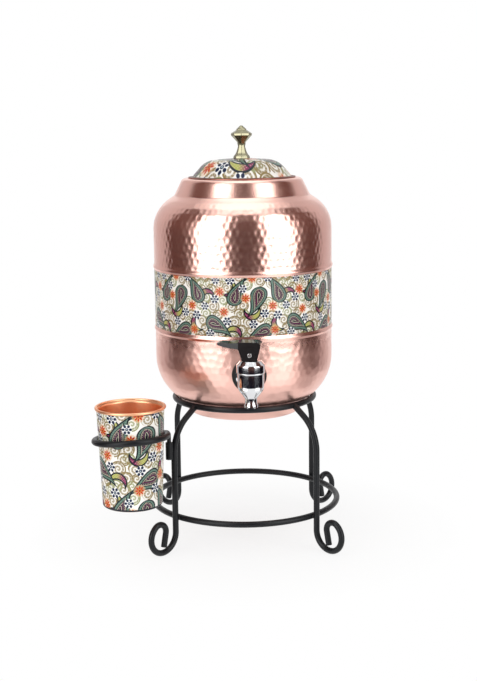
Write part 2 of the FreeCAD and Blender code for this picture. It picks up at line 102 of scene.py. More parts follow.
class NodeWork:
    """Adds shader nodes to one tree. Sockets take numbers, colours or other nodes' values."""

    def __init__(self, tree):
        self.tree = tree

    def node(self, kind, settings=None, sockets=None, out=0):
        made = self.tree.nodes.new("ShaderNode" + kind)
        for name, setting in (settings or {}).items():
            if name == "stops":
                self.set_stops(made.color_ramp, setting)
            else:
                setattr(made, name, setting)
        for name, value in (sockets or {}).items():
            self.join(made.inputs[name], value)
        return Value(self, made.outputs[out])

    def join(self, socket, value):
        if isinstance(value, Value):
            self.tree.links.new(value.socket, socket)
        else:
            socket.default_value = value

    def set_stops(self, ramp, stops):
        """Colours of a ramp as (position, red, green, blue), first one first."""
        while len(ramp.elements) < len(stops):
            ramp.elements.new(1.0)
        for element, (position, *colour) in zip(ramp.elements, stops):
            element.position = position
            element.color = (*colour, 1.0)

    def mixed(self, share, first, second):
        """Colour between two others."""
        factor, a, b, result = 0, 6, 7, 2
        return self.node("Mix", {"data_type": "RGBA"}, {factor: share, a: first, b: second}, result)

    def grain(self, size, detail=2.0, roughness=0.5):
        """Soft noise of about that grain size in metres, on the piece's own coordinates."""
        place = self.node("TexCoord", out="Object")
        return self.node("TexNoise", None, {"Vector": place, "Scale": 1.0 / size, "Detail": detail,
                                            "Roughness": roughness})


class Finish(NodeWork):
    """A material whose surface is one principled shader."""

    def __init__(self, name, **sockets):
        self.material = bpy.data.materials.new(name)
        self.material.use_nodes = True
        super().__init__(self.material.node_tree)
        self.surface = self.tree.nodes["Principled BSDF"]
        self.set(**sockets)

    def set(self, **sockets):
        for name, value in sockets.items():
            if isinstance(value, tuple) and len(value) == 3:
                value = (*value, 1.0)
            self.join(self.surface.inputs[name.replace("_", " ")], value)

    def bumps(self, height, depth):
        """Fine relief, depth in metres."""
        self.set(Normal=self.node("Bump", None, {"Height": height, "Distance": depth}, "Normal"))


def new_piece(name, vertices, faces, *finishes):
    """Smooth mesh object at the origin."""
    mesh = bpy.data.meshes.new(name)
    mesh.from_pydata(vertices, [], faces)
    for finish in finishes:
        mesh.materials.append(finish.material)
    mesh.shade_smooth()
    piece = bpy.data.objects.new(name, mesh)
    bpy.context.scene.collection.objects.link(piece)
    return piece


def settled(piece):
    """The piece with its modifiers turned into plain mesh."""
    graph = bpy.context.evaluated_depsgraph_get()
    mesh = bpy.data.meshes.new_from_object(piece.evaluated_get(graph), depsgraph=graph)
    piece.modifiers.clear()
    piece.data = mesh
    return piece


def rod_tree():
    """Geometry nodes that run a round section along a path."""
    tree = bpy.data.node_groups.new("round rod", "GeometryNodeTree")
    for name, kind in (("Path", "Geometry"), ("Radius", "Float"), ("Sides", "Int"), ("Finish", "Material")):
        tree.interface.new_socket(name, in_out="INPUT", socket_type="NodeSocket" + kind)
    tree.interface.new_socket("Rod", in_out="OUTPUT", socket_type="NodeSocketGeometry")
    given = tree.nodes.new("NodeGroupInput")
    path = tree.nodes.new("GeometryNodeMeshToCurve")
    section = tree.nodes.new("GeometryNodeCurvePrimitiveCircle")
    sweep = tree.nodes.new("GeometryNodeCurveToMesh")
    sweep.inputs["Fill Caps"].default_value = True
    smooth = tree.nodes.new("GeometryNodeSetShadeSmooth")
    real = tree.nodes.new("GeometryNodeRealizeInstances")
    paint = tree.nodes.new("GeometryNodeSetMaterial")
    result = tree.nodes.new("NodeGroupOutput")
    link = tree.links.new
    link(given.outputs["Path"], path.inputs["Mesh"])
    link(given.outputs["Sides"], section.inputs["Resolution"])
    link(given.outputs["Radius"], section.inputs["Radius"])
    link(path.outputs["Curve"], sweep.inputs["Curve"])
    link(section.outputs["Curve"], sweep.inputs["Profile Curve"])
    link(sweep.outputs["Mesh"], smooth.inputs["Geometry"])
    link(smooth.outputs["Geometry"], real.inputs["Geometry"])
    link(real.outputs["Geometry"], paint.inputs["Geometry"])
    link(given.outputs["Finish"], paint.inputs["Material"])
    link(paint.outputs["Geometry"], result.inputs["Rod"])
    return tree


round_rod = rod_tree()


def rod(name, points, radius, finish, closed=False, sides=32):
    """One rod along the given centre line."""
    count = len(points)
    edges = [(i, (i + 1) % count) for i in range(count if closed else count - 1)]
    mesh = bpy.data.meshes.new(name)
    mesh.from_pydata(points, edges, [])
    piece = bpy.data.objects.new(name, mesh)
    bpy.context.scene.collection.objects.link(piece)
    grow = piece.modifiers.new("round rod", "NODES")
    grow.node_group = round_rod
    given = {"Radius": radius, "Sides": sides, "Finish": finish.material}
    for item in round_rod.interface.items_tree:
        if item.name in given:
            grow[item.identifier] = given[item.name]
    piece = settled(piece)
    work = bmesh.new()
    work.from_mesh(piece.data)
    bmesh.ops.recalc_face_normals(work, faces=work.faces)
    work.to_mesh(piece.data)
    work.free()
    return piece


def bent(start, heading, steps, grain=radians(4)):
    """Centre line of a bent rod in its own plane: straight steps and (bend radius, turn) steps."""
    points = [Vector(start)]
    angle = radians(heading)
    for step in steps:
        here = points[-1]
        if isinstance(step, tuple):
            bend, turn = step
            side = 1 if turn > 0 else -1
            centre = here + Vector((-sin(angle), cos(angle))) * bend * side
            pieces = max(2, round(abs(turn) / grain))
            for k in range(1, pieces + 1):
                points.append(centre + Matrix.Rotation(turn * k / pieces, 2) @ (here - centre))
            angle += turn
        else:
            points.append(here + Vector((cos(angle), sin(angle))) * step)
    return points


def around(radius, azimuth, height=0.0):
    """Point at a distance from the pot's axis; azimuth 0 is the front, positive to the right."""
    return Vector((radius * sin(azimuth), -radius * cos(azimuth), height))


def circle(radius, height, count=180):
    return [around(radius, 2 * pi * k / count, height) for k in range(count)]


powder_coat = Finish("powder_coat", Base_Color=(0.007, 0.008, 0.010), Coat_Roughness=0.25,
                     Specular_IOR_Level=0.24, Coat_Weight=0.06)
coat_blotches = powder_coat.grain(0.012, 3.0)
powder_coat.set(Roughness=coat_blotches * 0.14 + 0.30)
powder_coat.bumps(powder_coat.grain(0.0007, 1.0), 0.00006)

rod_radius = 0.0030
weld_gap = 0.00005
top_ring_radius, top_ring_height = 0.0704, 0.1413
lower_ring_radius, lower_ring_height = 0.0944, 0.0335
leg_radius = lower_ring_radius + 2 * rod_radius + weld_gap
front_leg_azimuth, back_leg_azimuth = radians(43.7), radians(46.4)
leg_azimuths = {"leg_front_left": -front_leg_azimuth, "leg_front_right": front_leg_azimuth,
                "leg_back_left": pi + back_leg_azimuth, "leg_back_right": pi - back_leg_azimuth}
shoulder_height, shoulder_bend = 0.0990, 0.0410
foot_bend = 0.0175
scroll_bends = ((0.0152, radians(145)), (0.0082, radians(137)))
scroll_tail = 0.014

for node, radius, height in (("top_ring", top_ring_radius, top_ring_height),
                             ("lower_ring", lower_ring_radius, lower_ring_height)):
    ring = rod(node + "_rod", circle(radius, height), rod_radius, powder_coat, closed=True)
    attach(ring, "stand")
    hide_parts(node)

# The straight end of a leg is the tangent from its shoulder bend to the top ring.
bend_centre = Vector((leg_radius - shoulder_bend, shoulder_height))
to_ring = Vector((top_ring_radius, top_ring_height)) - bend_centre
shoulder_turn = atan2(to_ring.y, to_ring.x) - acos(shoulder_bend / to_ring.length)
end_length = sqrt(to_ring.length ** 2 - shoulder_bend ** 2)
post_length = shoulder_height - rod_radius - foot_bend
foot_point = (leg_radius + foot_bend, rod_radius)
scroll_line = bent(foot_point, 0, [*scroll_bends, scroll_tail])
upward_line = bent(foot_point, 180, [(foot_bend, -pi / 2), post_length,
                                     (shoulder_bend, shoulder_turn), end_length])
leg_line = scroll_line[:0:-1] + upward_line

for node, azimuth in leg_azimuths.items():
    leg = rod(node + "_rod", [around(p.x, azimuth, p.y) for p in leg_line], rod_radius, powder_coat)
    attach(leg, "stand")
    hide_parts(node)


def weld_beads(name, places, finish):
    """Small uneven beads of weld; each place is (centre, half sizes, azimuth)."""
    unevenness, lumps_per_metre = 0.16, 900
    work = bmesh.new()
    for centre, half_sizes, azimuth in places:
        facing = Matrix.Rotation(azimuth, 4, "Z")
        place = Matrix.Translation(centre) @ facing @ Matrix.Diagonal(half_sizes).to_4x4()
        ball = bmesh.ops.create_icosphere(work, subdivisions=3, radius=1.0, matrix=place)
        for vertex in ball["verts"]:
            swell = 1 + unevenness * noise.noise(vertex.co * lumps_per_metre)
            vertex.co = centre + (vertex.co - centre) * swell
    mesh = bpy.data.meshes.new(name)
    work.to_mesh(mesh)
    work.free()
    mesh.materials.append(finish.material)
    mesh.shade_smooth()
    piece = bpy.data.objects.new(name, mesh)
    bpy.context.scene.collection.objects.link(piece)
    return piece


lean = Vector((-sin(shoulder_turn), cos(shoulder_turn)))
top_bead, lower_bead = (0.0037, 0.0036, 0.0024), (0.0034, 0.0021, 0.0022)
top_bead_inward = 0.0034
bead_places = []
for azimuth in leg_azimuths.values():
    near_ring = Vector((top_ring_radius, top_ring_height)) - lean * top_bead_inward
    bead_places.append((around(near_ring.x, azimuth, near_ring.y), top_bead, azimuth))
    contact = around(lower_ring_radius + rod_radius, azimuth, lower_ring_height)
    bead_places.append((contact, lower_bead, azimuth))
beads = weld_beads("stand_welds", bead_places, powder_coat)
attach(beads, "stand")


# Copper pot. One shell of 1.1 mm copper, spun with two rolled beads, then hammered above and below
# the plain band between them, and burnished on the neck. The blows are dents in the mesh: each is a
# shallow round hollow, and ridges stand where neighbours meet.

def rounded_profile(corners, grain):
    """Outline (radius, height) from corners (radius, height, bend), no step longer than grain."""
    points = [Vector(corner[:2]) for corner in corners]
    outline = [points[0]]

    def straight_to(there):
        run = there - outline[-1]
        count = max(1, round(run.length / grain))
        here = outline[-1]
        if run.length > 1e-7:
            outline.extend(here + run * (k / count) for k in range(1, count + 1))

    for i in range(1, len(points) - 1):
        bend = corners[i][2]
        if not bend:
            straight_to(points[i])
            continue
        before = (points[i - 1] - points[i]).normalized()
        after = (points[i + 1] - points[i]).normalized()
        half_angle = before.angle(after) / 2
        reach = bend / tan(half_angle)
        centre = points[i] + (before + after).normalized() * (bend / sin(half_angle))
        straight_to(points[i] + before * reach)
        spoke = outline[-1] - centre
        turn = pi - 2 * half_angle
        if before.x * after.y - before.y * after.x > 0:
            turn = -turn
        count = max(3, round(abs(turn) * bend / grain), round(abs(turn) / radians(12)))
        outline.extend(centre + Matrix.Rotation(turn * k / count, 2) @ spoke for k in range(1, count + 1))
    straight_to(points[-1])
    return outline


def inner_side(outline, thickness):
    """The outline moved in by a wall's thickness, at right angles to it."""
    moved = []
    for i, point in enumerate(outline):
        run = outline[min(i + 1, len(outline) - 1)] - outline[max(i - 1, 0)]
        normal = Vector((-run.y, run.x)).normalized()
        moved.append(Vector((max(0.0, point.x + normal.x * thickness), point.y + normal.y * thickness)))
    moved[0].x = 0.0
    return moved


def lathe(name, outline, segments, *finishes, centre=(0.0, 0.0)):
    """Closed surface of revolution. Points on the axis become one pole each."""
    vertices, rows = [], []
    for point in outline:
        if point.x < 1e-7:
            rows.append([len(vertices)] * segments)
            vertices.append((centre[0], centre[1], point.y))
        else:
            rows.append(range(len(vertices), len(vertices) + segments))
            for k in range(segments):
                there = around(point.x, 2 * pi * k / segments, point.y)
                vertices.append((there.x + centre[0], there.y + centre[1], there.z))
    faces = []
    for low, high in zip(rows, rows[1:]):
        for k in range(segments):
            corners = (low[k], low[(k + 1) % segments], high[(k + 1) % segments], high[k])
            faces.append(tuple(dict.fromkeys(corners)))
    return new_piece(name, vertices, faces, *finishes)


body_radius = 0.0890
pot_wall = 0.0011
base_height, base_radius, base_bend = 0.1270, 0.0555, 0.0080
belly_bend, belly_turn = 0.0500, radians(57)
pot_shoulder_start, pot_shoulder_bend, pot_shoulder_turn = 0.3125, 0.0350, radians(57)
neck_foot = (0.0674, 0.34553, 0.0040)
neck_top_radius, rim_height, rim_bend = 0.0592, 0.3624, 0.0050
mouth_radius = 0.0516
bead_heights, bead_proud, bead_half_width = (0.2138, 0.2757), 0.0013, 0.0027
bead_foot_bend, bead_crown_bend = 0.0012, 0.0022

copper_colour = (0.95, 0.60, 0.525)
hammered_copper = Finish("hammered_copper", Metallic=1.0)
tarnish = hammered_copper.grain(0.045, 4.0, 0.6)
darker_copper = (0.90, 0.53, 0.445, 1.0)
hammered_copper.set(Base_Color=hammered_copper.mixed(tarnish, (*copper_colour, 1.0), darker_copper))
pot_place = hammered_copper.node("TexCoord", out="Object")
pot_height = hammered_copper.node("SeparateXYZ", None, {0: pot_place}, "Z")
satin_fade, satin_roughness = 0.02, 0.10
satin = ((bead_heights[0] - pot_height) / satin_fade).within(0.0, 1.0) * satin_roughness
hammered_copper.set(Roughness=hammered_copper.grain(0.006, 3.0) * 0.10 + satin + 0.18)
hammered_copper.bumps(hammered_copper.grain(0.0012, 2.0), 0.00005)

# The belly's bend rests in the top ring.
seat_gap = 0.0003
belly_reach = belly_bend + rod_radius + seat_gap
belly_centre_radius = body_radius - belly_bend
belly_centre_height = top_ring_height + sqrt(belly_reach ** 2 - (top_ring_radius - belly_centre_radius) ** 2)
belly_corner = belly_centre_height - belly_bend * tan(belly_turn / 2)
belly_foot = (belly_centre_radius + belly_bend * cos(belly_turn),
              belly_centre_height - belly_bend * sin(belly_turn))
pot_corners = [(0, base_height, 0), (base_radius, base_height, base_bend), (*belly_foot, 0),
               (body_radius, belly_corner, belly_bend)]
for height in bead_heights:
    pot_corners += [(body_radius, height - bead_half_width, bead_foot_bend),
                    (body_radius + bead_proud, height, bead_crown_bend),
                    (body_radius, height + bead_half_width, bead_foot_bend)]
shoulder_corner = pot_shoulder_start + pot_shoulder_bend * tan(pot_shoulder_turn / 2)
pot_corners += [(body_radius, shoulder_corner, pot_shoulder_bend), neck_foot,
                (neck_top_radius, rim_height, rim_bend), (mouth_radius, rim_height, 0)]

fine_grain, plain_grain = 0.00115, 0.004
fine_outline = rounded_profile(pot_corners, fine_grain)
# Only the hammered zones, which stop short of the beads and the neck, need the full fineness.
plain_beside_bead, plain_below_neck = 0.004, 0.003
lower_zone = (belly_foot[1], bead_heights[0] - plain_beside_bead)
upper_zone = (bead_heights[1] + plain_beside_bead, neck_foot[1] - plain_below_neck)


def in_zone(height):
    return lower_zone[0] < height < lower_zone[1] or upper_zone[0] < height < upper_zone[1]


def thinned(outline, keep):
    """Outline without the points that lie on a nearly straight run and aren't asked for."""
    longest_run = 0.012
    kept = [outline[0]]
    for before, here, after in zip(outline, outline[1:], outline[2:]):
        bending = (here - before).angle(after - here, 0.0) > radians(0.5)
        if keep(here.y) or bending or (here - kept[-1]).length > longest_run:
            kept.append(here)
    return kept + [outline[-1]]


outer = thinned(fine_outline, in_zone)
plain_outline = thinned(rounded_profile(pot_corners, plain_grain), lambda height: False)
inner = inner_side(plain_outline, pot_wall)
pot_segments = 384
pot = lathe("pot_skin", outer + inner[::-1], pot_segments, hammered_copper)

# Blows of the hammer stand in rows, each between the blows of the row below it: small and round
# above, and wide, soft and overlapping below.
lower_blows = (lower_zone, 0.0074, 0.0043, 0.00022, 0.17)
upper_blows = (upper_zone, 0.0066, 0.0032, 0.00026, 0.09)
row_closeness = 0.90
blows = []
seeded = np.random.default_rng(11)
for (low, high), spacing, reach, depth, wander in (lower_blows, upper_blows):
    columns = round(2 * pi * body_radius / spacing)
    row = 0
    run = spacing
    for before, here in zip(fine_outline, fine_outline[1:]):
        run += (here - before).length
        if run < spacing * row_closeness or not low < here.y < high:
            continue
        run = 0.0
        row += 1
        for k in range(columns):
            azimuth = 2 * pi * (k + row % 2 / 2 + seeded.normal(0, wander)) / columns
            height = here.y + seeded.normal(0, spacing * wander)
            blows.append((around(here.x, azimuth, height), reach * seeded.uniform(0.90, 1.10),
                          depth * seeded.uniform(0.75, 1.20)))

tree = KDTree(len(blows))
for index, (centre, _, _) in enumerate(blows):
    tree.insert(centre, index)
tree.balance()
outer_count = 1 + (len(outer) - 1) * pot_segments
for vertex in pot.data.vertices[:outer_count]:
    if not in_zone(vertex.co.z):
        continue
    _, index, distance = tree.find(vertex.co)
    _, reach, depth = blows[index]
    if distance < reach:
        inward = Vector((-vertex.co.x, -vertex.co.y, 0)).normalized()
        vertex.co += inward * depth * (1 - (distance / reach) ** 2)
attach(pot, "pot")
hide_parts("pot_shell")


# Printed band. Between the beads the copper carries a fired white ground with a printed pattern of
# paisleys, leaves, flowers and scrolls under a clear glaze. The same print covers the lid and the
# tumbler. The pattern is one tile, worked out from shapes in millimetres, that repeats both ways.

tile_width = 79.9
tile_height = 60.0
millimetres_in_metre = 1000


class Print(NodeWork):
    """The printed tile as a node group: millimetres across and up in, colour out."""

    def __init__(self):
        super().__init__(bpy.data.node_groups.new("paisley print", "ShaderNodeTree"))
        for name in ("Across", "Up"):
            self.tree.interface.new_socket(name, in_out="INPUT", socket_type="NodeSocketFloat")
        self.tree.interface.new_socket("Colour", in_out="OUTPUT", socket_type="NodeSocketColor")
        given = self.tree.nodes.new("NodeGroupInput")
        self.across = Value(self, given.outputs["Across"])
        self.up = Value(self, given.outputs["Up"])
        self.colour = (0.94, 0.92, 0.87, 1.0)

    def paint(self, mask, colour):
        if isinstance(colour, tuple):
            colour = (*colour, 1.0)
        self.colour = self.mixed(mask, self.colour, colour)

    def local(self, x, y, turn=0.0):
        """Coordinates of the nearest repeat of a place in the tile, turned by an angle."""
        dx = (self.across - x).maths("WRAP", tile_width / 2, -tile_width / 2)
        dy = (self.up - y).maths("WRAP", tile_height / 2, -tile_height / 2)
        if not turn:
            return dx, dy
        c, s = cos(radians(turn)), sin(radians(turn))
        return dx * c + dy * s, dy * c - dx * s

    def polar(self, x, y):
        return (x * x + y * y).maths("SQRT"), y.maths("ARCTAN2", x)

    def drop(self, x, y, half_width, length, bend):
        """Depth inside a bent drop, widest a third of the way up, whose tip points up."""
        fullness = 2.6 * half_width
        share = (y / length + 1 / 3).within(0.0, 1.0)
        aside = x - share * share * share * (bend * length)
        root = share.maths("SQRT")
        width = root * (1 - share) * fullness
        narrowing = ((1 - share) * 0.5 / (root + 0.02) - root) * (fullness / length)
        slope = narrowing + aside.maths("SIGN") * share * share * (3 * bend)
        return (width - aside.maths("ABSOLUTE")) / (slope * slope + 1).maths("SQRT")

    def crescent(self, x, y, radius, bite, shift):
        """Depth inside a round leaf with a round bite out of its right side."""
        outside = (x * x + y * y).maths("SQRT")
        x = x - shift
        return (radius - outside).maths("MINIMUM", (x * x + y * y).maths("SQRT") - bite)

    def banded(self, depth, reach, stops):
        """Colour by depth in bands; stops are (millimetres, colour)."""
        settings = {"stops": [(place / reach, *colour) for place, colour in stops]}
        ramp = self.node("ValToRGB", settings, {"Fac": depth / reach})
        ramp.socket.node.color_ramp.interpolation = "CONSTANT"
        return ramp


ink = (0.006, 0.011, 0.016)
teal = (0.15, 0.26, 0.20)
slate = (0.05, 0.06, 0.085)
cream = (0.74, 0.66, 0.52)
plum = (0.22, 0.020, 0.095)
lime = (0.42, 0.47, 0.10)
vermilion = (0.56, 0.040, 0.014)
amber = (0.72, 0.27, 0.06)
peach = (0.82, 0.50, 0.27)
sand = (0.27, 0.20, 0.075)
pale_olive = (0.31, 0.33, 0.15)
navy = (0.006, 0.014, 0.05)

tile = Print()

for x, y, size, colour in ((27, 51, 5.6, sand), (3, 50, 5.2, pale_olive), (50, 29, 6.2, sand),
                           (27, 19, 5.6, sand), (62, 56, 5.4, pale_olive), (5, 14, 5.6, sand),
                           (71, 14, 6.0, sand), (37, 1, 5.4, sand), (46, 51, 4.6, pale_olive),
                           (68, 29, 5.2, sand), (24, 33, 4.2, pale_olive), (79, 30, 5.2, sand),
                           (58, 3, 4.6, sand), (49, 45, 5.0, sand), (36, 30, 4.6, pale_olive),
                           (24, 13, 4.4, pale_olive), (39, 15, 4.6, sand), (15, 18, 4.4, sand),
                           (15, 53, 5.2, sand), (60, 35, 4.4, pale_olive), (34, 57, 4.4, sand),
                           (77, 6, 5.6, sand), (43, 37, 4.4, pale_olive), (55, 21, 4.6, sand),
                           (0, 22, 4.6, pale_olive), (39, 45, 4.2, sand), (75, 57, 5.4, sand),
                           (69, 0, 4.6, pale_olive), (43, 22, 4.8, pale_olive), (76, 22, 5.0, sand),
                           (42, 57, 4.6, sand), (64, 47, 4.4, sand), (2, 0, 4.0, pale_olive),
                           (19, 28, 3.6, sand), (49, 57, 3.8, sand), (6, 6, 3.8, sand),
                           (37, 51, 3.6, pale_olive), (57, 50, 3.6, sand), (41, 8, 3.4, sand)):
    radius, angle = tile.polar(*tile.local(x, y))
    line = (radius / 2.7 - angle / (2 * pi)).maths("FRACT") - 0.5
    tile.paint((radius < size + 0.5) * 0.14, colour)
    scroll = (line.maths("ABSOLUTE") < 0.26) * (radius < size)
    beading = (angle * 9 + radius * 2.0).maths("SINE") * 0.22 + 0.78
    tile.paint(scroll * beading, colour)
    rim = ((radius - size).maths("ABSOLUTE") < 0.5) * (angle > -1.6)
    tile.paint(rim, colour)

for x, y, turn, radius, bite, shift in ((8, 24, 100, 8.4, 6.7, 4.6), (44, 38, -60, 8.4, 6.6, 4.6),
                                        (66, 46, 150, 8.2, 6.7, 4.6), (34, 12, 20, 8.2, 6.6, 4.6),
                                        (70, 3, -100, 8.2, 6.6, 4.6)):
    across, up = tile.local(x, y, turn)
    depth = tile.crescent(across, up, radius, bite, shift)
    two_tones = tile.mixed((up / 5 + 0.3).within(0, 1), (*lime, 1.0), (*plum, 1.0))
    tile.paint(depth > 0, ink)
    tile.paint(depth > 1.25, two_tones)
    speckle = (up * 3.0).maths("SINE") * (across * 3.0).maths("SINE") > 0.5
    tile.paint((depth > 1.3) * speckle * 0.6, (0.80, 0.42, 0.42))

paisley_bands = ((0.0, ink), (1.2, teal), (2.7, ink), (3.6, cream), (4.0, ink), (5.4, slate),
                 (5.8, plum), (6.2, ink), (7.1, cream), (7.5, ink))
for x, y, turn, half_width, length, bend in ((15, 39, -166, 8.8, 26, 0.66), (35, 40, -8, 8.2, 25, -0.64),
                                             (51, 13, -84, 8.6, 25, 0.66), (71, 38, 12, 8.4, 25, 0.64),
                                             (19, 5, 78, 8.6, 25, -0.68)):
    across, up = tile.local(x, y, turn)
    depth = tile.drop(across, up, half_width, length, bend)
    tile.paint(depth > 0, tile.banded(depth, 9.0, paisley_bands))
    ticks = (up * 4.0).maths("SINE") > 0.1
    tile.paint((depth > 1.6) * (depth < 2.3) * ticks * 0.7, (0.025, 0.06, 0.06))
    tile.paint((depth > 4.5) * (depth < 5.1) * ticks, (0.52, 0.36, 0.32))

for x, y, size in ((28, 29, 4.4), (61, 24, 4.3), (2, 37, 4.2), (57, 43, 4.4), (8, 56, 4.2),
                   (30, 6, 4.2)):
    radius, angle = tile.polar(*tile.local(x, y))
    fleck = (radius * 5).maths("SINE") * (angle * 20).maths("SINE") > -0.2
    tile.paint((radius < size + 0.8) * fleck * 0.7, peach)
    edge = (angle * 4).maths("COSINE").maths("ABSOLUTE") * (0.58 * size) + 0.40 * size
    tile.paint(edge > radius, amber)
    tile.paint(edge - 0.4 > radius, vermilion)
    tile.paint(radius < 1.5, amber)
    tile.paint(radius < 0.9, (0.30, 0.02, 0.01))

petals = 6
for x, y, size in ((33, 20, 3.6), (23, 56, 3.4), (52, 36, 3.4), (47, 3, 3.4), (64, 15, 3.4),
                   (67, 54, 3.6), (9, 12, 3.4), (53, 54, 3.2), (79, 46, 3.2), (20, 22, 3.4),
                   (42, 29, 3.2)):
    radius, angle = tile.polar(*tile.local(x, y))
    turned = angle.maths("WRAP", pi / petals, -pi / petals)
    out = radius * turned.maths("COSINE") - size * 0.86
    side = radius * turned.maths("SINE") * 1.15
    tile.paint(radius < size + 0.7, (0.90, 0.92, 0.92))
    tile.paint((out * out + side * side) < (0.38 * size) ** 2, navy)
    tile.paint(radius < 0.38 * size, navy)
    tile.paint(radius < 0.14 * size, (0.55, 0.70, 0.75))

result = tile.tree.nodes.new("NodeGroupOutput")
tile.join(result.inputs["Colour"], tile.colour)


def printed(name):
    """Glazed print, before its pattern is joined."""
    finish = Finish(name, Coat_Roughness=0.10, Coat_Weight=0.38, Specular_IOR_Level=0.1)
    finish.set(Roughness=finish.grain(0.01, 3.0) * 0.12 + 0.34)
    finish.bumps(finish.grain(0.0016, 2.0), 0.00004)
    return finish


def print_at(finish, across, up):
    """Colour of the print at a place in the tile."""
    return finish.node("Group", {"node_tree": tile.tree}, {"Across": across, "Up": up})


def print_round(finish, centre, foot, repeats, radius, lined=-1.0):
    """Wraps a whole number of tiles round an upright axis; below the lined height it is coloured dark, with
    the ink colour.
    """
    enlargement = 2 * pi * radius * millimetres_in_metre / (repeats * tile_width)
    height = finish.node("SeparateXYZ", None, {0: finish.node("TexCoord", out="Object")}, "Z")
    x = height.other("X") - centre[0]
    y = height.other("Y") - centre[1]
    azimuth = x.maths("ARCTAN2", y * -1)
    across = azimuth * (repeats * tile_width / (2 * pi))
    up = (height - foot) * (millimetres_in_metre / enlargement)
    finish.set(Base_Color=finish.mixed(height < lined, print_at(finish, across, up), (*ink, 1.0)))


band_print = printed("band_print")
tiles_round_pot = 7
band_proud, band_clear_of_bead = 0.00012, 0.0002
band_foot = bead_heights[0] + bead_half_width + band_clear_of_bead
band_top = bead_heights[1] - bead_half_width - band_clear_of_bead
print_round(band_print, (0.0, 0.0), band_foot, tiles_round_pot, body_radius)
band_inner, band_outer = body_radius - pot_wall / 2, body_radius + band_proud
band_corners = [(band_inner, band_foot, 0), (band_outer, band_foot, 0), (band_outer, band_top, 0),
                (band_inner, band_top, 0), (band_inner, band_foot, 0)]
band = lathe("pot_print_band", rounded_profile(band_corners, 0.006), 256, band_print)
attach(band, "pot")


# Lid. A domed copper sheet, printed like the band but larger, whose narrow flange is bare copper
# coloured dark as painted shade of the crease between flange and rim. A plain skirt soldered under it drops
# into the pot's mouth.

lid_print = printed("lid_print")
lid_x = lid_print.node("SeparateXYZ", None, {0: lid_print.node("TexCoord", out="Object")}, "X")
lid_enlargement = 1.6
lid_scale = millimetres_in_metre / lid_enlargement
tile_at_knob = (8, 44)
lid_across = lid_x * -lid_scale + tile_at_knob[0]
lid_up = lid_x.other("Y") * lid_scale + tile_at_knob[1]
lid_print.set(Base_Color=print_at(lid_print, lid_across, lid_up))

spun_copper = Finish("spun_copper", Metallic=1.0)
clouds = spun_copper.grain(0.03, 3.0)
spun_copper.set(Base_Color=spun_copper.mixed(clouds, (*copper_colour, 1.0), darker_copper))
spun_copper.set(Roughness=spun_copper.grain(0.004, 3.0) * 0.10 + 0.20)

# The flange's dark copper is painted shade: the darkness of the crease between the lid's flange and the
# pot's rim.
tarnished_copper = Finish("tarnished_copper", Metallic=1.0, Base_Color=(0.17, 0.065, 0.045))
tarnished_copper.set(Roughness=tarnished_copper.grain(0.004, 3.0) * 0.10 + 0.36)

lid_sheet = 0.0008
lid_height = rim_height + seat_gap + lid_sheet
flange_radius, dome_foot_radius, dome_foot_bend = 0.0533, 0.0497, 0.0015
dome_slope, dome_crown_height, dome_bend = radians(49), 0.3812, 0.0220
crown_drop = 0.00175
crown_edge = dome_crown_height - crown_drop
crown_edge_radius = dome_foot_radius - (crown_edge - lid_height) / tan(dome_slope)
crown_land_radius, crown_bend = 0.012, 0.06
flange_swell = 0.0001
lid_corners = [(flange_radius, lid_height - lid_sheet, 0),
               (flange_radius + flange_swell, lid_height - lid_sheet / 2, 0),
               (flange_radius, lid_height, 0),
               (dome_foot_radius, lid_height, dome_foot_bend),
               (crown_edge_radius, crown_edge, dome_bend),
               (crown_land_radius, dome_crown_height, crown_bend),
               (0.0, dome_crown_height, 0)]
lid_outer = rounded_profile(lid_corners, 0.0015)
under_inset, under_drop = 0.0004, lid_sheet * 1.2
lid_under = [Vector((max(p.x - under_inset, 0.0), p.y - under_drop)) for p in lid_outer[4:]]
lid = lathe("lid_dome_skin", lid_under[::-1] + lid_outer, 160, spun_copper, lid_print, tarnished_copper)
print_edge_radius = dome_foot_radius - 0.0006
# Faces past the print's edge take the dark copper of the painted shade.
print_side, flange_shade_side = 1, 2
for face in lid.data.polygons:
    if face.normal.z > 0.2:
        within_print = Vector(face.center[:2]).length < print_edge_radius
        face.material_index = print_side if within_print else flange_shade_side
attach(lid, "lid")
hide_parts("lid_dome")

skirt_clearance, solder_gap = 0.0005, 0.00025
skirt_radius, skirt_depth = mouth_radius - skirt_clearance, 0.013
skirt_top = rim_height + solder_gap
skirt_foot, skirt_edge_bend = skirt_top - skirt_depth, 0.0003
skirt_inner = skirt_radius - lid_sheet
skirt_corners = [(skirt_inner, skirt_top, 0), (skirt_inner, skirt_foot, skirt_edge_bend),
                 (skirt_radius, skirt_foot, skirt_edge_bend), (skirt_radius, skirt_top, 0),
                 (skirt_inner, skirt_top, 0)]
skirt = lathe("lid_skirt_skin", rounded_profile(skirt_corners, 0.004), 128, spun_copper)
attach(skirt, "lid")
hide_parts("lid_skirt")


# Knob. Cast brass, turned and then cut to eight facets, polished, held through the dome by its stud
# with a washer and a hexagon nut.

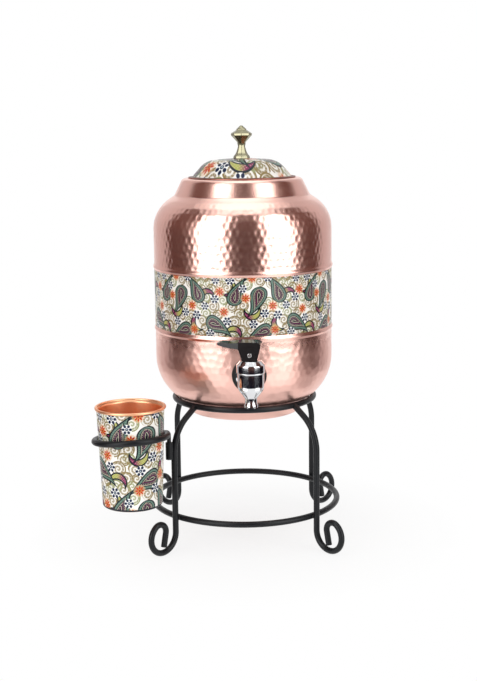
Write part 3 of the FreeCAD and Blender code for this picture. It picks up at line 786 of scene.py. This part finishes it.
def dressed(node, body, finish, edge, segments=3):
    """Copy of a solid with its sharp edges rounded off, standing for the solid."""
    work = bmesh.new()
    work.from_mesh(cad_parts[node].data)
    bmesh.ops.remove_doubles(work, verts=work.verts, dist=2e-6)
    bmesh.ops.dissolve_limit(work, angle_limit=radians(0.5), verts=work.verts, edges=work.edges)
    mesh = bpy.data.meshes.new(node + "_dressed")
    work.to_mesh(mesh)
    work.free()
    mesh.materials.clear()
    mesh.materials.append(finish.material)
    piece = bpy.data.objects.new(node + "_dressed", mesh)
    bpy.context.scene.collection.objects.link(piece)
    mesh.shade_smooth()
    mesh.set_sharp_from_angle(angle=radians(40))
    if edge:
        bevel = piece.modifiers.new("rounded edges", "BEVEL")
        bevel.width = edge
        bevel.segments = segments
        bevel.limit_method = "ANGLE"
        bevel.angle_limit = radians(32)
        shading = piece.modifiers.new("flat faces stay flat", "WEIGHTED_NORMAL")
        shading.weight = 100
    piece = settled(piece)
    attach(piece, body)
    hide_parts(node)
    return piece


brass = Finish("polished_brass", Metallic=1.0)
brass_tone = brass.mixed(brass.grain(0.006, 4.0), (0.43, 0.40, 0.26, 1.0), (0.17, 0.165, 0.11, 1.0))
brass.set(Base_Color=brass_tone, Roughness=brass.grain(0.003, 3.0) * 0.12 + 0.18)
steel = Finish("plain_steel", Metallic=1.0, Base_Color=(0.55, 0.55, 0.55))
steel.set(Roughness=steel.grain(0.003, 3.0) * 0.15 + 0.25)
dressed("lid_knob", "lid", brass, 0.00035)
dressed("knob_washer", "lid", steel, 0.0002)
dressed("knob_nut", "lid", steel, 0.0002)


# Tap. A chrome-plated body whose shank passes through the pot's wall between two rubber gaskets and
# is held by a nut inside, with a chrome bonnet screwed on top. The spring between the plug and the
# bonnet is pressed together as the valve lifts.

chrome = Finish("chrome_plate", Metallic=1.0, Base_Color=(0.80, 0.81, 0.83))
chrome.set(Roughness=chrome.grain(0.004, 3.0) * 0.05 + 0.05)
rubber = Finish("black_rubber", Base_Color=(0.014, 0.014, 0.014), Specular_IOR_Level=0.35)
rubber.set(Roughness=rubber.grain(0.002, 3.0) * 0.15 + 0.50)
for node, finish, slot, edge in (("tap_body", chrome, "tap_chrome", 0.0006),
                                 ("tap_bonnet", chrome, "tap_chrome", 0.0006),
                                 ("tap_lock_nut", chrome, "tap_chrome", 0.0003),
                                 ("tap_outer_gasket", rubber, "gasket", 0.0005),
                                 ("tap_inner_gasket", rubber, "gasket", 0.0003)):
    dressed(node, "pot", finish, edge)
spring = dressed("tap_spring", "pot", steel, 0.0)
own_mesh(spring)
dressed("tap_plug_seal", "plug", rubber, 0.0003)
dressed("tap_stem", "stem", chrome, 0.0003)


# Lever. A glossy black moulding whose forked foot straddles the stem's eye on a bright steel pin. It
# swivels with the stem, and its heel stands on the bonnet and draws the valve up as it tilts.

lever_plastic = Finish("black_moulding", Base_Color=(0.010, 0.010, 0.011), Coat_Roughness=0.06,
                       Coat_Weight=0.4)
lever_plastic.set(Roughness=lever_plastic.grain(0.006, 3.0) * 0.08 + 0.14)
pin_steel = Finish("pin_steel", Metallic=1.0, Base_Color=(0.80, 0.80, 0.80))
pin_steel.set(Roughness=pin_steel.grain(0.002, 2.0) * 0.10 + 0.16)
dressed("tap_lever", "lever", lever_plastic, 0.0007)
dressed("tap_pivot_pin", "stem", pin_steel, 0.0005)


# Tumbler's holder. A ring of the same rod on a thinner bent prong, which turns in a blind socket
# welded to the front left leg.

socket_half_width = 0.0035
socket_radius = leg_radius + rod_radius + socket_half_width + weld_gap
socket = around(socket_radius, -front_leg_azimuth)
holder_radius, holder_height, hook_reach = 0.0347, 0.1227, 0.0070
arm_azimuth, ring_roll = radians(-56), radians(6.5)
prong_radius = 0.0020
arm = around(1.0, arm_azimuth)
ring_centre = socket + arm * (holder_radius + hook_reach) + Vector((0, 0, holder_height))
roll = Matrix.Rotation(ring_roll, 4, arm)
turns = [2 * pi * k / 120 for k in range(120)]
holder_line = [ring_centre + roll @ Vector((cos(turn), sin(turn), 0)) * holder_radius for turn in turns]
holder = rod("holder_ring_rod", holder_line, rod_radius, powder_coat, closed=True)
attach(holder, "holder")
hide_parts("holder_ring")

prong_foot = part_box("holder_prong")[0][2]
prong_bend = hook_reach / 2
upright = holder_height - prong_bend - prong_foot
prong_bends = bent((0, prong_foot), 90, [upright, (prong_bend, -pi / 2), prong_bend])
prong_line = [socket + arm * p.x + Vector((0, 0, p.y)) for p in prong_bends]
prong = rod("holder_prong_rod", prong_line, prong_radius, powder_coat)
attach(prong, "holder")
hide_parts("holder_prong")
dressed("holder_socket", "stand", powder_coat, 0.0004)


# Tumbler. A tapered copper cup with a rolled lip, printed outside like the pot's band and left
# bright inside, sunk in its ring.

tumbler_low, tumbler_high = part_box("tumbler")
tumbler_foot, tumbler_lip = tumbler_low[2], tumbler_high[2]
tumbler_centre = ((tumbler_low[0] + tumbler_high[0]) / 2, (tumbler_low[1] + tumbler_high[1]) / 2)
foot_radius, lip_radius, tumbler_wall, curl = 0.0286, 0.0322, 0.0009, 0.0013
recess, standing = 0.0014, 0.0246
recess_edge_bend, foot_corner_bend = 0.0004, 0.0025
tumbler_corners = [(0, tumbler_foot + recess, 0),
                   (standing - recess, tumbler_foot + recess, recess_edge_bend),
                   (standing, tumbler_foot, recess_edge_bend),
                   (foot_radius, tumbler_foot, foot_corner_bend),
                   (lip_radius, tumbler_lip - curl, 0)]
cup_outer = rounded_profile(tumbler_corners, 0.003)
cup_inner = inner_side(cup_outer, tumbler_wall)
curl_centre = Vector((lip_radius + curl - tumbler_wall, tumbler_lip - curl))
lip_turns = [curl_centre + Matrix.Rotation(-radians(a), 2) @ Vector((0, -curl)) for a in range(20, 341, 20)]
tumbler_print = printed("tumbler_print")
# A narrow band at the cup's foot is coloured dark, with the ink colour.
tiles_round_tumbler, tile_foot, dark_foot_band = 2, 0.026, 0.0026
print_round(tumbler_print, tumbler_centre, tumbler_foot + tile_foot, tiles_round_tumbler,
            (foot_radius + lip_radius) / 2, lined=tumbler_foot + dark_foot_band)
bright_copper = Finish("bright_copper", Metallic=1.0)
bright_tones = (1.0, 0.55, 0.32, 1.0), (0.97, 0.48, 0.27, 1.0)
bright_copper.set(Base_Color=bright_copper.mixed(bright_copper.grain(0.02, 3.0), *bright_tones))
bright_copper.set(Roughness=bright_copper.grain(0.004, 3.0) * 0.10 + 0.32)
cup = lathe("tumbler_skin", cup_outer + lip_turns[::-1] + cup_inner[::-1], 128, spun_copper, tumbler_print,
            bright_copper, centre=tumbler_centre)
print_low, print_high = tumbler_foot + 0.0006, tumbler_lip - 2 * curl
bare_low = tumbler_foot + 0.0015
print_side, bright_side = 1, 2
for face in cup.data.polygons:
    out = Vector(face.center[:2]) - Vector(tumbler_centre)
    side = Vector(face.normal[:2]).dot(out) / out.length
    if side > 0.5 and print_low < face.center.z < print_high:
        face.material_index = print_side
    elif side < -0.2 or face.center.z > bare_low:
        face.material_index = bright_side
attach(cup, "tumbler")
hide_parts("tumbler")


# Studio. A pale floor that fades into white surroundings, two tall soft boxes beside the camera and
# one overhead. The boards and cloths, dark, grey and bright, are there for the metal, which mirrors
# them as its stripes, and the camera doesn't see them.

scene = bpy.context.scene
floor_finish = Finish("floor", Base_Color=(0.93, 0.93, 0.93), Roughness=0.7, Specular_IOR_Level=0.2)
floor_place = floor_finish.node("TexCoord", out="Object")
floor_reach = floor_finish.node("VectorMath", {"operation": "LENGTH"}, {0: floor_place}, "Value")
fade_start, fade_rate, fade_from = 0.10, 1.2, 0.85
faded = ((floor_reach - fade_start) * fade_rate + fade_from).within(0.0, 1.0)
glow = floor_finish.tree.nodes.new("ShaderNodeEmission")
blend = floor_finish.tree.nodes.new("ShaderNodeMixShader")
floor_finish.join(blend.inputs[0], faded)
floor_finish.tree.links.new(floor_finish.surface.outputs[0], blend.inputs[1])
floor_finish.tree.links.new(glow.outputs[0], blend.inputs[2])
floor_finish.tree.links.new(blend.outputs[0], floor_finish.tree.nodes["Material Output"].inputs["Surface"])
inner_floor, floor_radius = 0.4, 4.0
floor = lathe("floor", [Vector((0, 0)), Vector((inner_floor, 0)), Vector((floor_radius, 0))], 96,
              floor_finish)

world = bpy.data.worlds.new("white room")
scene.world = world
world.use_nodes = True
room = NodeWork(world.node_tree)
rays = room.node("LightPath", out="Is Camera Ray")
white_seen = rays.maths("MAXIMUM", rays.other("Is Glossy Ray"))
white_seen = white_seen.maths("MAXIMUM", rays.other("Is Transmission Ray"))
room_light = 0.45
background = world.node_tree.nodes["Background"]
background.inputs["Color"].default_value = (1.0, 1.0, 1.0, 1.0)
room.join(background.inputs["Strength"], white_seen * (1 - room_light) + room_light)


def facing_in(thing, azimuth, distance, height):
    """Stands an upright thing at a place round the object, with its face towards the axis."""
    place = around(distance, azimuth, height)
    towards = Vector((-place.x, -place.y, 0))
    thing.matrix_world = Matrix.Translation(place) @ towards.to_track_quat("-Z", "Y").to_matrix().to_4x4()


def soft_box(name, azimuth, distance, width, height, low, brightness):
    """Upright area lamp; brightness 1 is what white paper shows."""
    lamp = bpy.data.lights.new(name, "AREA")
    lamp.shape = "RECTANGLE"
    lamp.size, lamp.size_y = width, height
    lamp.energy = brightness * pi * width * height
    lamp_object = bpy.data.objects.new(name, lamp)
    scene.collection.objects.link(lamp_object)
    facing_in(lamp_object, radians(azimuth), distance, low + height / 2)
    return lamp_object


def strip(name, start, end, edges, finish, pieces):
    """Board or cloth bent round the object between two azimuths; its edges are (distance, height).
    The camera doesn't see it, so it hides the object from no side."""
    azimuths = [radians(start + (end - start) * k / pieces) for k in range(pieces + 1)]
    places = [around(distance, azimuth, height) for azimuth in azimuths for distance, height in edges]
    faces = [(2 * k, 2 * k + 1, 2 * k + 3, 2 * k + 2) for k in range(pieces)]
    thing = new_piece(name, places, faces, finish)
    thing.visible_camera = False


def board(name, start, end, distance, low, high, finish):
    strip(name, start, end, ((distance, low), (distance, high)), finish, 4)


def apron(name, start, end, near, far, finish, height=0.002):
    strip(name, start, end, ((near, height), (far, height)), finish, 8)


black_cloth = Finish("black_cloth", Base_Color=(0.006, 0.007, 0.013), Roughness=0.9, Specular_IOR_Level=0.0)
brown_board = Finish("brown_board", Base_Color=(0.16, 0.075, 0.06), Roughness=0.9, Specular_IOR_Level=0.1)
grey_board = Finish("grey_board", Base_Color=(0.84, 0.81, 0.82), Roughness=0.9, Specular_IOR_Level=0.1)
dim_board = Finish("dim_board", Base_Color=(0.60, 0.575, 0.58), Roughness=0.9, Specular_IOR_Level=0.1)
lit_cloth = Finish("lit_cloth", Base_Color=(0.10, 0.10, 0.10), Emission_Color=(1.0, 1.0, 1.0),
                   Emission_Strength=1.35)
soft_box("left soft box", -41, 1.30, 0.86, 1.90, 0.02, 2.4)
soft_box("right soft box", 47, 1.30, 0.92, 1.90, 0.02, 2.2)
overhead = soft_box("overhead soft box", 0, 0.01, 1.20, 1.20, 1.2, 1.0)
overhead_height = 1.9
overhead.matrix_world = Matrix.Translation((0, 0, overhead_height))
middle, left_side, right_side = (-20, 27), (-108, -63), (69, 110)
floor_level, cloth_level = 0.002, 0.004
board("middle screen", *middle, 2.2, floor_level, 4.0, brown_board)
board("left screen", *left_side, 1.2, floor_level, 2.1, brown_board)
board("right screen", *right_side, 1.2, floor_level, 2.1, brown_board)
board("left grey board", -155, -108, 1.3, floor_level, 2.1, grey_board)
board("right grey board", 110, 155, 1.3, floor_level, 2.1, grey_board)
apron("middle apron", *middle, 1.05, 2.2, brown_board)
apron("left apron", *left_side, 0.50, 1.2, brown_board)
apron("right apron", *right_side, 0.50, 1.2, brown_board)
apron("left near apron", -110, -63, 0.20, 0.50, dim_board)
apron("right near apron", *right_side, 0.20, 0.50, dim_board)
apron("left bright apron", -60, -22, 0.24, 0.80, lit_cloth)
apron("right bright apron", 28, 66, 0.24, 0.80, lit_cloth)
apron("left grey apron", -135, -108, 0.50, 1.3, grey_board)
apron("right grey apron", 110, 135, 0.50, 1.3, grey_board)
apron("front apron", -110, 110, 0.80, 1.07, black_cloth, height=cloth_level)
apron("front near apron", -32, 38, 0.66, 0.80, black_cloth, height=cloth_level)

camera_data = bpy.data.cameras.new("camera")
camera = bpy.data.objects.new("camera", camera_data)
scene.collection.objects.link(camera)
scene.camera = camera
camera_data.sensor_fit = "VERTICAL"
camera_data.sensor_height = 36.0
camera_data.lens = 67.72
camera_pitch, camera_roll = radians(10.049), radians(-0.705)
level_right = Vector((1, 0, 0))
level_up = Vector((0, sin(camera_pitch), cos(camera_pitch)))
right = level_right * cos(camera_roll) + level_up * sin(camera_roll)
up = level_up * cos(camera_roll) - level_right * sin(camera_roll)
turned = Matrix((right, up, right.cross(up))).transposed().to_4x4()
camera_place = (-0.00535, -1.28305, 0.42507)
camera.matrix_world = Matrix.Translation(camera_place) @ turned

scene.view_settings.view_transform = "Standard"
